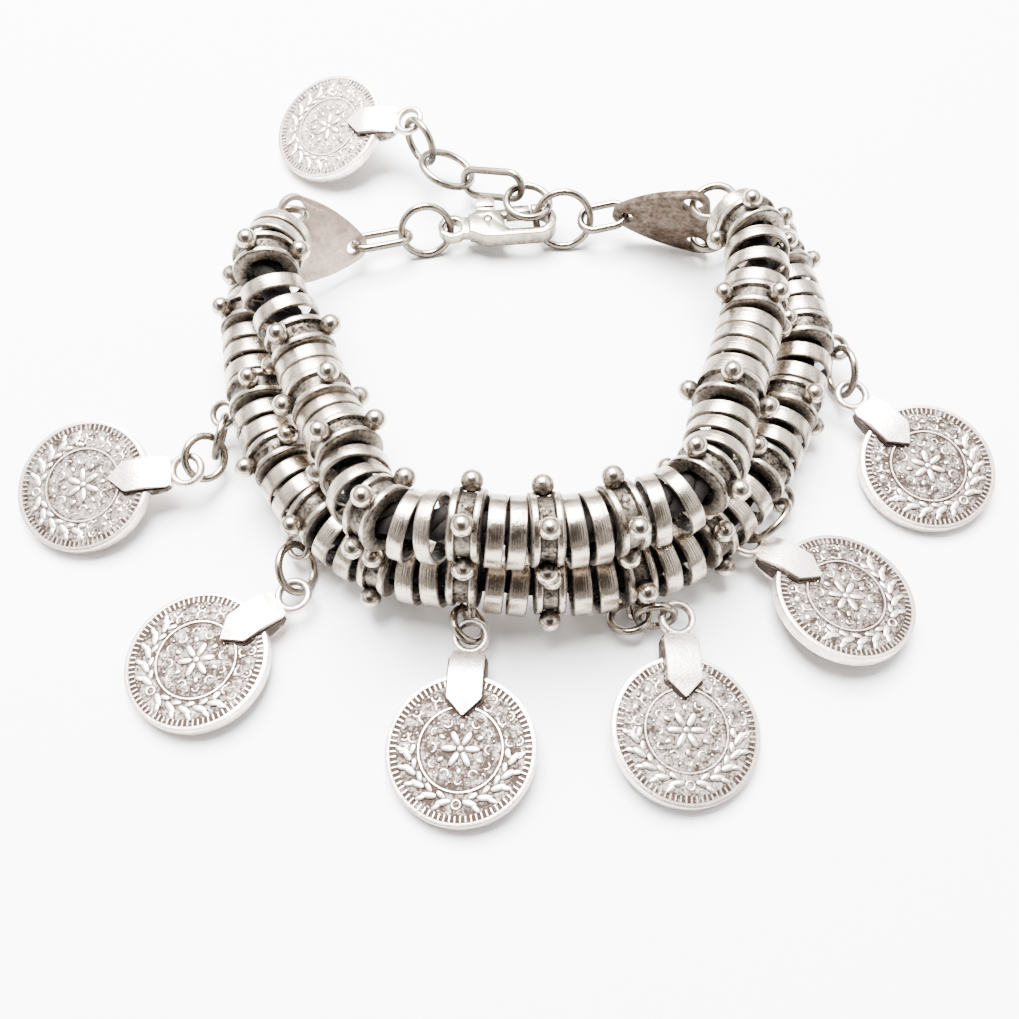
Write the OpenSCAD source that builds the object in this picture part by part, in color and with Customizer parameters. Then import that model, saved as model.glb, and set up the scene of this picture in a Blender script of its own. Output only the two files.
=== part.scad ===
// Coin bracelet: two strands of loose rings, seven coins, two gathering plates,
// a closing chain with a spring hook clasp and a short extension chain.
// It lies on a level surface with the clasp at the back, as it is put down.

/* [Coins] */
// Radius of a coin
coin_r = 8; // [7.5:0.1:8]
// Thickness over the raised rim
coin_t = 1.6; // [1.4:0.1:1.6]
// How far the design stands up from the field of the coin
relief = 0.15; // [0.1:0.01:0.2]
// Width of the flat bail strap
strap_w = 3.8; // [3:0.1:3.8]
// How far the strap's point reaches in from the rim
strap_reach = 4.6; // [3:0.1:4.6]

/* [Rings on the strands] */
// Outer radius of both kinds of ring bead
bead_r = 3.85; // [3.6:0.05:3.85]
// Width of a plain ring bead
ring_w = 1.65; // [1.5:0.05:1.8]
// Bore radius of a plain ring bead
ring_bore = 3.35; // [3.3:0.01:3.4]
// Width of a ball ring bead
ball_ring_w = 3.15; // [3:0.05:3.4]
// Bore radius of a ball ring bead
ball_ring_bore = 2.35; // [2.3:0.01:2.4]
// Radius of the small balls soldered round a ball ring
ball_r = 1.2; // [1.1:0.01:1.25]
// How far a plain ring hangs below the cord
ring_drop = 0.8; // [0.5:0.1:1]

/* [Cords] */
// Radius of the cord that the rings are strung on
cord_r = 1.5; // [1.2:0.05:1.5]
// Outer radius of the crimped cap on a cord's end
cap_r = 2.08; // [2.05:0.01:2.15]

/* [Wire] */
// Radius of the wire of all links and jump rings
wire_r = 0.45; // [0.4:0.01:0.45]
// Radius of the wire of the eyelets soldered on the lower strand
eyelet_wire_r = 0.4; // [0.35:0.01:0.4]

/* [Plates] */
// Thickness of the two gathering plates
plate_t = 1; // [0.8:0.05:1]
// Distance between the two strand holes of a plate
plate_holes = 8; // [7.6:0.1:8]
// Distance from the line of the strand holes to the hole in the tip
plate_reach = 9.2; // [9:0.1:9.4]

/* [Clasp] */
// Length of the clasp from the middle of its eye to the inner end of its hook
clasp_reach = 13; // [12.6:0.1:13]
// Thickness of the clasp's body
clasp_t = 2.2; // [1.8:0.1:2.2]
// How far the lever is pushed in
clasp_open = 0; // [0:1:25]

/* [Hidden] */

// Smoothness of round parts
round_fn = 40;
wire_fn = 20;

// The places below are measured from a point inside the bracelet's front; this moves
// them so that the origin is under the middle of the whole lying bracelet
middle = [-0.02, 14.75, 0.08];

// Columns of the route of a strand: place of a ball ring, turn of its balls, plain rings
// between it and the next row, how far those rings tip on the cord, and the cord's way there
// where the neighbouring rows don't give it
PLACE = 0;
TURN = 1;
RINGS = 2;
TIP = 3;
WAY = 4;
none = 1000;

// The lead of a strand is the way its cord points out at each of its ends
upper_route = [
    [[-28.46, 28.91, 14.29], none, 0, 0],
    [[-28.86, 24.91, 15.18], 73, 2, 9, [0.169, -0.986, 0.009]],
    [[-24.20, 14.78, 12.66], 61, 2, 1],
    [[-21.08, 7.00, 12.78], 20, 2, 0],
    [[-17.73, 0.22, 14.01], 60, 2, 10],
    [[-13.44, -8.69, 15.54], 76, 2, 12],
    [[-4.22, -10.63, 16.56], 62, 2, 0],
    [[3.60, -10.94, 16.18], 64, 2, 3],
    [[11.46, -9.41, 15.80], 46, 2, 10],
    [[20.34, -4.37, 14.98], 25, 3, 7],
    [[24.43, 6.84, 13.42], 6, 4, 3],
    [[28.77, 19.83, 12.67], 60, 3, 6],
    [[29.80, 32.60, 12.80], 6, 0, 0, [-0.31, 0.94, -0.14]],
    [[29.40, 33.90, 12.50], none, 0, 0]
];
upper_lead = [[0.145, 0.947, -0.288], [-0.472, 0.874, -0.117]];

lower_route = [
    [[-31.85, 25.39, 6.03], none, 0, 0],
    [[-32.28, 23.51, 6.01], 48, 3, 3],
    [[-30.00, 11.90, 6.00], 85, 2, 1],
    [[-26.44, 3.28, 6.27], 20, 2, 1],
    [[-21.40, -3.70, 6.00], 32, 2, 2],
    [[-13.77, -9.31, 5.44], 66, 2, 1],
    [[-4.70, -11.30, 6.55], 70, 2, 1],
    [[4.30, -12.00, 6.20], 66, 2, 1],
    [[13.40, -10.70, 6.10], 28, 2, 1],
    [[21.82, -6.17, 5.82], 60, 2, 2],
    [[28.70, 1.90, 6.00], 14, 2, 2],
    [[33.41, 11.04, 5.64], 60, 2, 2],
    [[36.30, 20.90, 6.00], 35, 3, 2],
    [[35.02, 32.52, 5.87], -1, 0, 0, [-0.26, 0.96, -0.04]],
    [[32.15, 40.18, 5.39], none, 0, 0]
];
lower_lead = [[-0.108, 0.994, -0.013], [-0.923, 0.006, -0.385]];

// Distances of the plain rings beyond the last ball ring at each end of a strand
upper_left_rings = [3.80, 5.90];
upper_right_rings = [3.30];
lower_left_rings = [2.85, 4.85];
lower_right_rings = [2.66, 4.60];

// Columns of the eyelets soldered on the lower strand: row of the route, turn round the
// ring, and how far the eyelet is twisted on it
lower_eyelets = [
    [2, -18, -17],
    [4, -39, 1],
    [6, -63.2, 52.9],
    [8, -58, 135],
    [10, -36.4, 2.3],
    [12, -18, 7]
];
eyelet_r = 1.45;
eyelet_out = 4.95;
ball_out = 4.5;
// A ball closer than this to an eyelet, in degrees round the ring, is left out
ball_room = 55;

// Columns of the coins: place of the coin's middle, the way its bail points, the bail's
// rise and the coin's roll
coins = [
    [[-50, 1.38, 3.11], 5.9, 7.8, 12.3],
    [[-34.1, -19.9, 1.8], 37.3, 3.9, -3.6],
    [[-5.06, -29.75, 1.98], 86.4, 3.7, -5.2],
    [[18.54, -27.81, 2.21], 90.2, 4.9, 6.7],
    [[37.46, -12.72, 2.58], 145.8, 2.6, 10.1],
    [[49.99, 4.4, 2.25], 129.8, 6.8, -5],
    [[-25.62, 59.31, 4.21], -11.1, 16.5, 17]
];

// Columns of the round links: name, place of its middle, direction its hole faces, radius
NAME = 0;
MIDDLE = 1;
FACING = 2;
RADIUS = 3;
round_links = [
    ["coin_link_1", [-34.75, 7.85, 3.81], [-0.955, 0.124, 0.271], 2.55],
    ["coin_link_1b", [-36, 4.5, 4.5], [-0.689, 0.422, -0.59], 2.55],
    ["coin_link_2", [-24.2, -9.12, 2.84], [-0.829, 0.126, -0.545], 2.75],
    ["coin_link_3", [-4.48, -15.8, 2.57], [0.595, 0.113, 0.796], 2.07],
    ["coin_link_4", [13.34, -14.8, 2.12], [-0.172, 0.341, 0.924], 2.1],
    ["coin_link_4b", [16.17, -15.06, 3.11], [0.024, -0.988, 0.154], 2.07],
    ["coin_link_5", [29.79, -3.2, 3.2], [-0.697, 0.51, 0.504], 3.09],
    ["coin_link_6", [41.32, 17.32, 3.83], [-0.965, -0.201, 0.168], 2.95],
    ["plate_ring_1", [-28.01, 34.47, 12.43], [-0.076, 0.346, 0.935], 2.59],
    ["plate_ring_2", [-31.64, 30.57, 5.45], [-0.154, 0.321, 0.935], 2.16],
    ["plate_ring_3", [25.97, 38.23, 11.48], [-0.314, -0.006, 0.949], 2.6],
    ["plate_ring_4", [27.16, 40.09, 3.35], [-0.378, -0.025, 0.926], 2.35],
    ["left_round_link", [-11.27, 40.71, 3.6], [0.194, -0.895, 0.402], 3.35],
    ["right_round_link", [7.29, 42.55, 3.79], [-0.003, -0.864, 0.503], 3.68],
    ["extension_link_1", [2.48, 44.34, 5.22], [-0.074, -0.01, -0.997], 2.93],
    ["extension_link_3", [-8.65, 50.9, 4.7], [0.356, 0.166, 0.919], 3.62],
    ["extension_link_4", [-12.4, 54.45, 6.4], [-0.784, -0.616, 0.07], 3]
];

// Columns of the oval links: name, place of its middle, the way it points, direction its
// hole faces, radius of its round ends, length of its straight sides
oval_links = [
    ["left_oval_link", [-17.19, 39.18, 3.54], [0.944, 0.317, -0.089], [0.041, -0.382, -0.923], 1.92, 3.9],
    ["right_oval_link", [12.69, 42.51, 4.31], [0.974, 0.077, 0.214], [-0.206, -0.099, 0.974], 1.88, 2.45],
    ["extension_link_2", [-2.35, 48.19, 4.63], [-0.86, 0.409, -0.306], [0.493, 0.822, -0.287], 1.85, 5.6]
];

// Columns of the plates: middle between its strand holes, the way its tip points, the way
// its upper strand hole lies
plates = [
    [[-28.3, 34.4, 8.5], [0.803, 0.342, -0.488], [0.258, 0.54, 0.801]],
    [[24.5, 39.5, 6.4], [-0.939, 0.303, -0.162], [-0.2, -0.1, 0.97]]
];

clasp_place = [-7.65, 41.2, 3.3];
clasp_heading = 5.3;

// Sizes of a cord cap, along the cord from its mouth
cap_l = 2.3;
cap_depth = 1.5;
cap_eyelet_at = 3.2;
cap_eyelet_r = 1.2;
cord_gap = 0.3;

silver = [0.78, 0.76, 0.74];
bright_silver = [0.88, 0.87, 0.85];
dark_silver = [0.5, 0.47, 0.45];
cord_colour = [0.16, 0.15, 0.15];

// Vector and frame helpers

function unit(v) = v / norm(v);
function across(v, along) = unit(v - (v * along) * along);

// Moves its children so that their Z points along way and their X along side
module stood(place, way, side) {
    z = unit(way);
    x = across(side, z);
    y = cross(z, x);
    multmatrix([
        [x[0], y[0], z[0], place[0]],
        [x[1], y[1], z[1], place[1]],
        [x[2], y[2], z[2], place[2]],
        [0, 0, 0, 1]
    ])
        children();
}

// Side direction of a strand: level, pointing out of the bracelet
function outward(way) = unit(cross(way, [0, 0, 1]));

// Moves the whole bracelet to its origin
module laid() {
    translate(-middle)
        children();
}

// Route helpers: the cord passes smoothly through every row of its route

function last(list) = len(list) - 1;
function reversed(list) = [for (i = [last(list):-1:0]) list[i]];

function heading(route, lead, i) =
    i == 0 ? unit(-lead[0]) :
    i == last(route) ? unit(lead[1]) :
    route[i][WAY] != undef ? unit(route[i][WAY]) :
    unit(route[i + 1][PLACE] - route[i - 1][PLACE]);

function step_length(route, i) = norm(route[i + 1][PLACE] - route[i][PLACE]);

function route_point(route, lead, i, t) =
    let (
        length = step_length(route, i),
        p = route[i][PLACE],
        q = route[i + 1][PLACE],
        u = heading(route, lead, i) * length,
        v = heading(route, lead, i + 1) * length
    )
    (2 * t^3 - 3 * t^2 + 1) * p + (t^3 - 2 * t^2 + t) * u
    + (3 * t^2 - 2 * t^3) * q + (t^3 - t^2) * v;

function route_way(route, lead, i, t) =
    unit(route_point(route, lead, i, t + 0.01) - route_point(route, lead, i, t - 0.01));

// Point and way at a distance beyond row i, carried on straight past the end of the route
function beyond(route, lead, i, distance) =
    distance < step_length(route, i)
    ? route_point(route, lead, i, distance / step_length(route, i))
    : route[i + 1][PLACE] + unit(lead[1]) * (distance - step_length(route, i));

function beyond_way(route, lead, i, distance) =
    distance < step_length(route, i)
    ? route_way(route, lead, i, distance / step_length(route, i))
    : unit(lead[1]);

// Rings on the strands

module plain_ring() {
    edge = 0.2;
    half = ring_w / 2;
    rotate_extrude($fn = round_fn)
        polygon([
            [ring_bore, -half + edge], [ring_bore + edge, -half], [bead_r - edge, -half],
            [bead_r, -half + edge], [bead_r, half - edge], [bead_r - edge, half],
            [ring_bore + edge, half], [ring_bore, half - edge]
        ]);
}

module waisted_ring() {
    edge = 0.3;
    half = ball_ring_w / 2;
    rim = 0.75;
    slope = 0.2;
    waist = bead_r - 0.5;
    rotate_extrude($fn = round_fn)
        polygon([
            [ball_ring_bore, -half], [bead_r - edge, -half], [bead_r, -half + edge],
            [bead_r, -half + rim], [waist, -half + rim + slope], [waist, half - rim - slope],
            [bead_r, half - rim], [bead_r, half - edge], [bead_r - edge, half],
            [ball_ring_bore, half]
        ]);
}

function apart(a, b) = abs((a - b + 540) % 360 - 180);

// A waisted ring with balls every quarter turn, and an eyelet in their place where one is
module ball_ring(turn, eyelet_turn = none) {
    waisted_ring();
    for (quarter = [0:3])
        if (eyelet_turn == none || apart(turn + 90 * quarter + 360, eyelet_turn + 360) > ball_room)
            rotate(-turn - 90 * quarter)
                translate([ball_out, 0, 0])
                    sphere(r = ball_r, $fn = wire_fn);
}

module eyelet(turn, twist) {
    rotate(-turn)
        translate([eyelet_out, 0, 0])
            rotate([90 + twist, 0, 0])
                wire_ring(eyelet_r, eyelet_wire_r);
}

module on_strand(route, lead, i) {
    way = heading(route, lead, i);
    stood(route[i][PLACE], way, outward(way))
        children();
}

function eyelet_row(eyelets, i) = [for (row = eyelets) if (row[0] == i) row];

module tipped_ring(place, way, tip, number) {
    stood(place, way, outward(way))
        translate([0, ring_drop, 0])
            rotate([tip * cos(97 * number), tip * sin(97 * number), 0])
                plain_ring();
}

module ball_rings(route, lead, eyelets) {
    for (i = [0:last(route)])
        if (route[i][TURN] != none) {
            row = eyelet_row(eyelets, i);
            on_strand(route, lead, i)
                if (len(row) == 0)
                    ball_ring(route[i][TURN]);
                else {
                    ball_ring(route[i][TURN], row[0][1]);
                    eyelet(row[0][1], row[0][2]);
                }
        }
}

module plain_rings(route, lead) {
    for (i = [1:last(route) - 1]) {
        count = route[i][RINGS];
        length = step_length(route, i);
        gap = (length - ball_ring_w - count * ring_w) / (count + 1);
        if (count > 0)
            for (k = [0:count - 1]) {
                t = (ball_ring_w / 2 + gap + ring_w / 2 + k * (ring_w + gap)) / length;
                tipped_ring(
                    route_point(route, lead, i, t), route_way(route, lead, i, t),
                    route[i][TIP], i + 3 * k
                );
            }
    }
}

module end_rings(route, lead, distances) {
    i = last(route) - 1;
    for (k = [0:last(distances)])
        tipped_ring(
            beyond(route, lead, i, distances[k]), beyond_way(route, lead, i, distances[k]), 0, k
        );
}

module strand(route, lead, eyelets, near_rings, far_rings) {
    ball_rings(route, lead, eyelets);
    plain_rings(route, lead);
    end_rings(route, lead, far_rings);
    end_rings(reversed(route), reversed(lead), near_rings);
}

module upper_beads() {
    color(silver)
        strand(upper_route, upper_lead, [], upper_left_rings, upper_right_rings);
}

module lower_beads() {
    color(silver)
        strand(lower_route, lower_lead, lower_eyelets, lower_left_rings, lower_right_rings);
}

// Cords

cord_sides = 8;
cord_steps = 3;

function cord_line(route, lead) = [
    route[0][PLACE] + unit(lead[0]) * (cap_depth - cord_gap),
    for (i = [0:last(route) - 1], k = [0:cord_steps - 1]) route_point(route, lead, i, k / cord_steps),
    route[last(route)][PLACE],
    route[last(route)][PLACE] + unit(lead[1]) * (cap_depth - cord_gap)
];

module tube(line, radius, sides) {
    count = len(line);
    ways = [for (i = [0:count - 1]) unit(line[min(i + 1, count - 1)] - line[max(i - 1, 0)])];
    points = [
        for (i = [0:count - 1], k = [0:sides - 1])
            let (side = outward(ways[i]), top = cross(side, ways[i]), angle = 360 * k / sides)
            line[i] + radius * (cos(angle) * side + sin(angle) * top)
    ];
    skin = [
        for (i = [0:count - 2], k = [0:sides - 1])
            let (a = i * sides + k, b = i * sides + (k + 1) % sides)
            each [[a, b, b + sides], [a, b + sides, a + sides]]
    ];
    start = [for (k = [sides - 1:-1:0]) k];
    end = [for (k = [0:sides - 1]) (count - 1) * sides + k];
    polyhedron(points = points, faces = concat(skin, [start, end]), convexity = 8);
}

module upper_cord() {
    color(cord_colour)
        tube(cord_line(upper_route, upper_lead), cord_r, cord_sides);
}

module lower_cord() {
    color(cord_colour)
        tube(cord_line(lower_route, lower_lead), cord_r, cord_sides);
}

// Caps on the cord ends: where the mouth is and the way the cap points
cap_ends = [
    [upper_route[0][PLACE], unit(upper_lead[0])],
    [lower_route[0][PLACE], unit(lower_lead[0])],
    [upper_route[last(upper_route)][PLACE], unit(upper_lead[1])],
    [lower_route[last(lower_route)][PLACE], unit(lower_lead[1])]
];

module cord_cap(number) {
    end = cap_ends[number];
    color(silver)
        stood(end[0], end[1], outward(end[1])) {
            difference() {
                cylinder(r = cap_r, h = cap_l, $fn = round_fn);
                translate([0, 0, -1])
                    cylinder(r = cord_r + cord_gap, h = 1 + cap_depth, $fn = round_fn);
            }
            translate([0, 0, cap_eyelet_at])
                rotate([0, 90, 0])
                    wire_ring(cap_eyelet_r, wire_r);
        }
}

// Wire links

module wire_ring(radius, wire) {
    rotate_extrude($fn = round_fn)
        translate([radius, 0])
            circle(r = wire, $fn = wire_fn);
}

module round_link(name) {
    row = [for (link = round_links) if (link[NAME] == name) link][0];
    color(bright_silver)
        stood(row[MIDDLE], row[FACING], [1, 0.2, 0.1])
            wire_ring(row[RADIUS], wire_r);
}

// An oval link: a wire of six sides swept round two half circles and two straight sides
module oval_ring(radius, straight, wire) {
    turns = 20;
    sides = 6;
    // Each half circle has its own two ends, so the straight sides lie between them
    angles = concat(
        [for (k = [0:turns / 2]) [-90 + 360 * k / turns, straight / 2]],
        [for (k = [0:turns / 2]) [90 + 360 * k / turns, -straight / 2]]
    );
    count = len(angles);
    points = [
        for (turn = angles, k = [0:sides - 1])
            let (reach = radius + wire * cos(360 * k / sides))
            [turn[1] + reach * cos(turn[0]), reach * sin(turn[0]), wire * sin(360 * k / sides)]
    ];
    skin = [
        for (i = [0:count - 1], k = [0:sides - 1])
            let (
                a = i * sides + k,
                b = i * sides + (k + 1) % sides,
                c = ((i + 1) % count) * sides + k,
                d = ((i + 1) % count) * sides + (k + 1) % sides
            )
            each [[a, b, d], [a, d, c]]
    ];
    polyhedron(points = points, faces = skin, convexity = 6);
}

module oval_link(name) {
    row = [for (link = oval_links) if (link[NAME] == name) link][0];
    color(bright_silver)
        stood(row[MIDDLE], row[3], row[2])
            oval_ring(row[4], row[5], wire_r);
}

// Coins

// Outline of a pointed leaf from the origin along X
function leaf(length, width) = [
    for (k = [0:8]) [length * k / 8, width / 2 * sin(180 * k / 8)],
    for (k = [7:-1:1]) [length * k / 8, -width / 2 * sin(180 * k / 8)]
];

// Outline of a five pointed star
function star(radius) = [
    for (k = [0:9]) (k % 2 == 0 ? radius : 0.42 * radius) * [cos(36 * k), sin(36 * k)]
];

module raised(outline) {
    sunk = 0.1;
    translate([0, 0, coin_t / 2 - relief - sunk])
        linear_extrude(relief + sunk)
            polygon(outline);
}

module raised_band(inner, outer) {
    sunk = 0.1;
    translate([0, 0, coin_t / 2 - relief - sunk])
        difference() {
            cylinder(r = outer, h = relief + sunk, $fn = round_fn);
            translate([0, 0, -1])
                cylinder(r = inner, h = 3, $fn = round_fn);
        }
}

module coin_disc() {
    rim_w = 0.5;
    circle_line_r = 0.556 * coin_r;
    wreath_r = 5.7;
    cylinder(r = coin_r, h = coin_t - 2 * relief, center = true, $fn = 2 * round_fn);
    raised_band(coin_r - rim_w, coin_r);
    mirror([0, 0, 1])
        raised_band(coin_r - rim_w, coin_r);
    raised_band(circle_line_r - 0.15, circle_line_r + 0.15);
    // Wreath in the half away from the bail, its two branches meeting at the bottom
    for (side = [-1, 1], k = [0:4])
        rotate(180 + side * (14 + 17 * k))
            translate([wreath_r, 0, 0])
                rotate(side * 62)
                    translate([-0.9, 0, 0])
                        raised(leaf(1.8, 0.8));
    // Two stars on each side of the bail
    for (angle = [-66, -42, 42, 66])
        rotate(angle)
            translate([wreath_r, 0, 0])
                raised(star(0.75));
    // Rosette in the middle
    for (k = [0:5])
        rotate(60 * k + 30)
            translate([0.35, 0, 0])
                raised(leaf(1.6, 0.8));
}

module bail() {
    point_x = coin_r - strap_reach;
    half = strap_w / 2;
    thick = 1.5;
    neck = 0.6;
    eye_at = coin_r + 4.4;
    eye_r = 1.72;
    neck_x = eye_at - eye_r - 0.05;
    neck_half = 1.6;
    shoulder_x = neck_x - 0.7;
    intersection() {
        linear_extrude(4, center = true)
            polygon([
                [point_x, 0], [point_x + half, -half], [shoulder_x, -half], [neck_x, -neck_half],
                [neck_x, neck_half], [shoulder_x, half], [point_x + half, half]
            ]);
        rotate([90, 0, 0])
            linear_extrude(2 * strap_w, center = true)
                polygon([
                    [point_x - 1, -thick], [coin_r + 0.3, -thick], [neck_x, -neck],
                    [neck_x, neck], [coin_r + 0.3, thick], [point_x - 1, thick]
                ]);
    }
    translate([eye_at, 0, 0])
        wire_ring(eye_r, wire_r);
}

module coin(number) {
    row = coins[number];
    color(bright_silver)
        translate(row[0])
            rotate([row[3], -row[2], row[1]]) {
                coin_disc();
                bail();
            }
}

// Gathering plates

function arc(centre, radius, from, to, steps) = [
    for (k = [0:steps])
        centre + radius * [cos(from + (to - from) * k / steps), sin(from + (to - from) * k / steps)]
];

// Points of a bowed side between two corners, without the corners themselves
function bowed(p, q, bow, steps) =
    let (out = unit([q[1] - p[1], p[0] - q[0]]))
    [for (k = [1:steps - 1]) p + (q - p) * k / steps + out * 4 * bow * k / steps * (1 - k / steps)];

tip_hole_r = 1;
strand_hole_r = 1.4;

module plate_shape() {
    tip_r = 2;
    corner_r = 2.1;
    upper = [0, plate_holes / 2];
    lower = [0, -plate_holes / 2];
    tip = [plate_reach, 0];
    tip_arc = arc(tip, tip_r, -50, 50, 6);
    upper_arc = arc(upper, corner_r, 62, 180, 6);
    lower_arc = arc(lower, corner_r, 180, 298, 6);
    difference() {
        translate([0, 0, -plate_t / 2])
            linear_extrude(plate_t)
                polygon(concat(
                    tip_arc, bowed(tip_arc[6], upper_arc[0], 0.7, 6),
                    upper_arc, lower_arc, bowed(lower_arc[6], tip_arc[0], 0.7, 6)
                ));
        translate([plate_reach, 0, -plate_t])
            cylinder(r = tip_hole_r, h = 2 * plate_t, $fn = round_fn);
        for (hole = [upper, lower])
            translate([hole[0], hole[1], -plate_t])
                cylinder(r = strand_hole_r, h = 2 * plate_t, $fn = round_fn);
    }
}

module plate(number) {
    row = plates[number];
    color(dark_silver)
        stood(row[0], cross(row[1], row[2]), row[1])
            plate_shape();
}

// Clasp, drawn flat with the middle of its eye at the origin and its hook along X

eye_outer = 2;
eye_hole = 1.2;
eye_t = 1.4;
hook_r = 2.6;
hook_wall = 1.1;
hook_x = clasp_reach - (hook_r - hook_wall);
pivot = [4.8, 0.6];
pin_r = 0.4;
pin_gap = 0.1;
leaf_t = 0.9;
leaf_gap = 0.1;
gate_t = 1.8;

module clasp_body_shape() {
    inner = hook_r - hook_wall;
    outline = concat(
        arc([0, 0], eye_outer, 45, 315, 16),
        [[2.6, -1.6], [4.2, -2.5], [5.2, -hook_r]],
        arc([hook_x, 0], hook_r, -90, 90, 12),
        [[hook_x - 0.75, hook_r], [hook_x - 0.55, inner]],
        arc([hook_x, 0], inner, 90, -90, 12),
        [[7.6, -inner], [7, -0.9], [7, 1], [5.6, 2], [3.6, 2.3], [2.6, 1.6]]
    );
    difference() {
        linear_extrude(clasp_t, center = true)
            polygon(outline);
        // Thinner round the eye
        for (side = [-1, 1])
            translate([-3, -3, side > 0 ? eye_t / 2 : -eye_t / 2 - 2])
                cube([5.2, 6, 2]);
        translate([0, 0, -2])
            cylinder(r = eye_hole, h = 4, $fn = round_fn);
        // Slot for the lever and bore for its pin
        translate([2.9, -0.9, -leaf_t / 2 - leaf_gap])
            cube([5, 5, leaf_t + 2 * leaf_gap]);
        translate([pivot[0], pivot[1], -2])
            cylinder(r = pin_r + pin_gap, h = 4, $fn = round_fn);
    }
}

module clasp_lever_shape() {
    tip_x = hook_x - 0.8;
    inner = hook_r - hook_wall;
    hub_r = 1.3;
    tab_from = 3.2;
    tab_to = 5.1;
    tab_t = 1.4;
    // Thin leaf in the slot
    translate([0, 0, -leaf_t / 2])
        linear_extrude(leaf_t)
            polygon(concat(
                arc(pivot, hub_r, 170, 330, 8),
                [[6.4, inner], [tip_x, inner + 0.05], [tip_x - 0.2, hook_r], [6, hook_r],
                [5.6, tab_from + 0.5], [3.6, tab_from + 0.5]]
            ));
    // Thicker gate
    translate([0, 0, -gate_t / 2])
        linear_extrude(gate_t)
            polygon([
                [7.4, inner], [tip_x, inner + 0.05], [tip_x - 0.2, hook_r], [7.4, hook_r]
            ]);
    // Thumb tab
    translate([0, 0, -tab_t / 2])
        linear_extrude(tab_t)
            polygon(concat(
                [[3.5, tab_from], [5.8, tab_from]],
                arc([4.7, tab_to - 1.3], 1.3, 0, 180, 8)
            ));
    translate([pivot[0], pivot[1], -clasp_t / 2 + 0.05])
        cylinder(r = pin_r, h = clasp_t - 0.1, $fn = wire_fn);
}

module at_clasp() {
    translate(clasp_place)
        rotate(clasp_heading)
            children();
}

module clasp_body() {
    color(silver)
        at_clasp()
            clasp_body_shape();
}

module clasp_lever() {
    color(bright_silver)
        at_clasp()
            translate([pivot[0], pivot[1], 0])
                rotate(-clasp_open)
                    translate([-pivot[0], -pivot[1], 0])
                        clasp_lever_shape();
}

// Nodes

laid() {
    for (number = [0:6])
        coin(number);
    for (link = round_links)
        round_link(link[NAME]);
    for (link = oval_links)
        oval_link(link[NAME]);
    for (number = [0:3])
        cord_cap(number);
    upper_beads();
    lower_beads();
    upper_cord();
    lower_cord();
    plate(0);  // left_plate
    plate(1);  // right_plate
    clasp_body();
    clasp_lever();
}
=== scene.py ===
# %% [markdown]
# # A coin bracelet in antiqued silver
# The bracelet lies on a table: two strands of loose rings on dark cords, six coins on jump
# rings, two hammered gathering plates, and a closing chain with a spring hook. The exact solids
# are loaded first as a frame that never moves. Some of them stay and get a finish. The others
# are modelled again here with finer forms, in the same places.

# %% Load the frame
import math

import bmesh
import bpy
from mathutils import Matrix, Vector


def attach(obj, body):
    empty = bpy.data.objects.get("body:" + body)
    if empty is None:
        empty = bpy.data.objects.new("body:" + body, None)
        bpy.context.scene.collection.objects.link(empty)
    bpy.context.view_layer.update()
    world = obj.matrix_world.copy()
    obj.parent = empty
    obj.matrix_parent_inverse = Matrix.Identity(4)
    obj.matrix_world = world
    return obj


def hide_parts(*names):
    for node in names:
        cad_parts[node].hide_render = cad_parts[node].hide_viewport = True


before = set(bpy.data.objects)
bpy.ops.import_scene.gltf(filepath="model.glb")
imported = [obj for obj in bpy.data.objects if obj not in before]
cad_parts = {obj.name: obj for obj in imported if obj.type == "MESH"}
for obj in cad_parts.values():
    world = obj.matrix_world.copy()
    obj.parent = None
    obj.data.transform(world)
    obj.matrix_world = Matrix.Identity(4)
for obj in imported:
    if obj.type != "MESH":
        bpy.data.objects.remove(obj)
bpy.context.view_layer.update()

# %% [markdown]
# ## Working in millimetres
# A ring bead is under 8 mm across. Blender's operators merge and bevel with limits that suit
# things of a metre, so each piece is modelled with one unit for a millimetre, and its mesh is
# made a thousand times smaller when it is put in its place.

# %% Units and the bracelet's middle
MILLIMETRE = 0.001
BRACELET_MIDDLE = Vector((-0.02, 14.75, 0.08))
to_metres = Matrix.Scale(MILLIMETRE, 4) @ Matrix.Translation(-BRACELET_MIDDLE)
print("a point inside the bracelet's front lies at", to_metres @ Vector((0, 0, 0)))


# %% [markdown]
# ## Small helpers for modelling by operators
# An operator acts on all that is selected, so everything is deselected before a new primitive
# is added. Faces, edges and points are then picked by their place, as a person would by eye.

# %% Selecting and naming
def deselect_everything():
    if bpy.context.object and bpy.context.object.mode != "OBJECT":
        bpy.ops.object.mode_set(mode="OBJECT")
    bpy.ops.object.select_all(action="DESELECT")


def named(name):
    piece = bpy.context.object
    piece.name = name
    piece.data.name = name
    return piece


def pick(piece, test, kind="FACE"):
    bpy.ops.mesh.select_mode(type=kind)
    bpy.ops.mesh.select_all(action="DESELECT")
    mesh = bmesh.from_edit_mesh(piece.data)
    for part in {"FACE": mesh.faces, "EDGE": mesh.edges, "VERT": mesh.verts}[kind]:
        points = [part.co] if kind == "VERT" else [point.co for point in part.verts]
        centre = sum(points, Vector()) / len(points)
        part.select_set(test(centre, part.normal) if kind == "FACE" else test(centre))
    mesh.select_flush_mode()
    bmesh.update_edit_mesh(piece.data)


def only(piece):
    deselect_everything()
    piece.select_set(True)
    bpy.context.view_layer.objects.active = piece


def join(pieces, name):
    deselect_everything()
    for piece in pieces:
        piece.select_set(True)
    bpy.context.view_layer.objects.active = pieces[0]
    bpy.ops.object.join()
    return named(name)


def copy_of(model, matrix):
    twin = model.copy()
    twin.data = model.data.copy()
    twin.data.transform(matrix)
    bpy.context.scene.collection.objects.link(twin)
    return twin


def remove(model):
    bpy.data.objects.remove(model, do_unlink=True)


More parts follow.
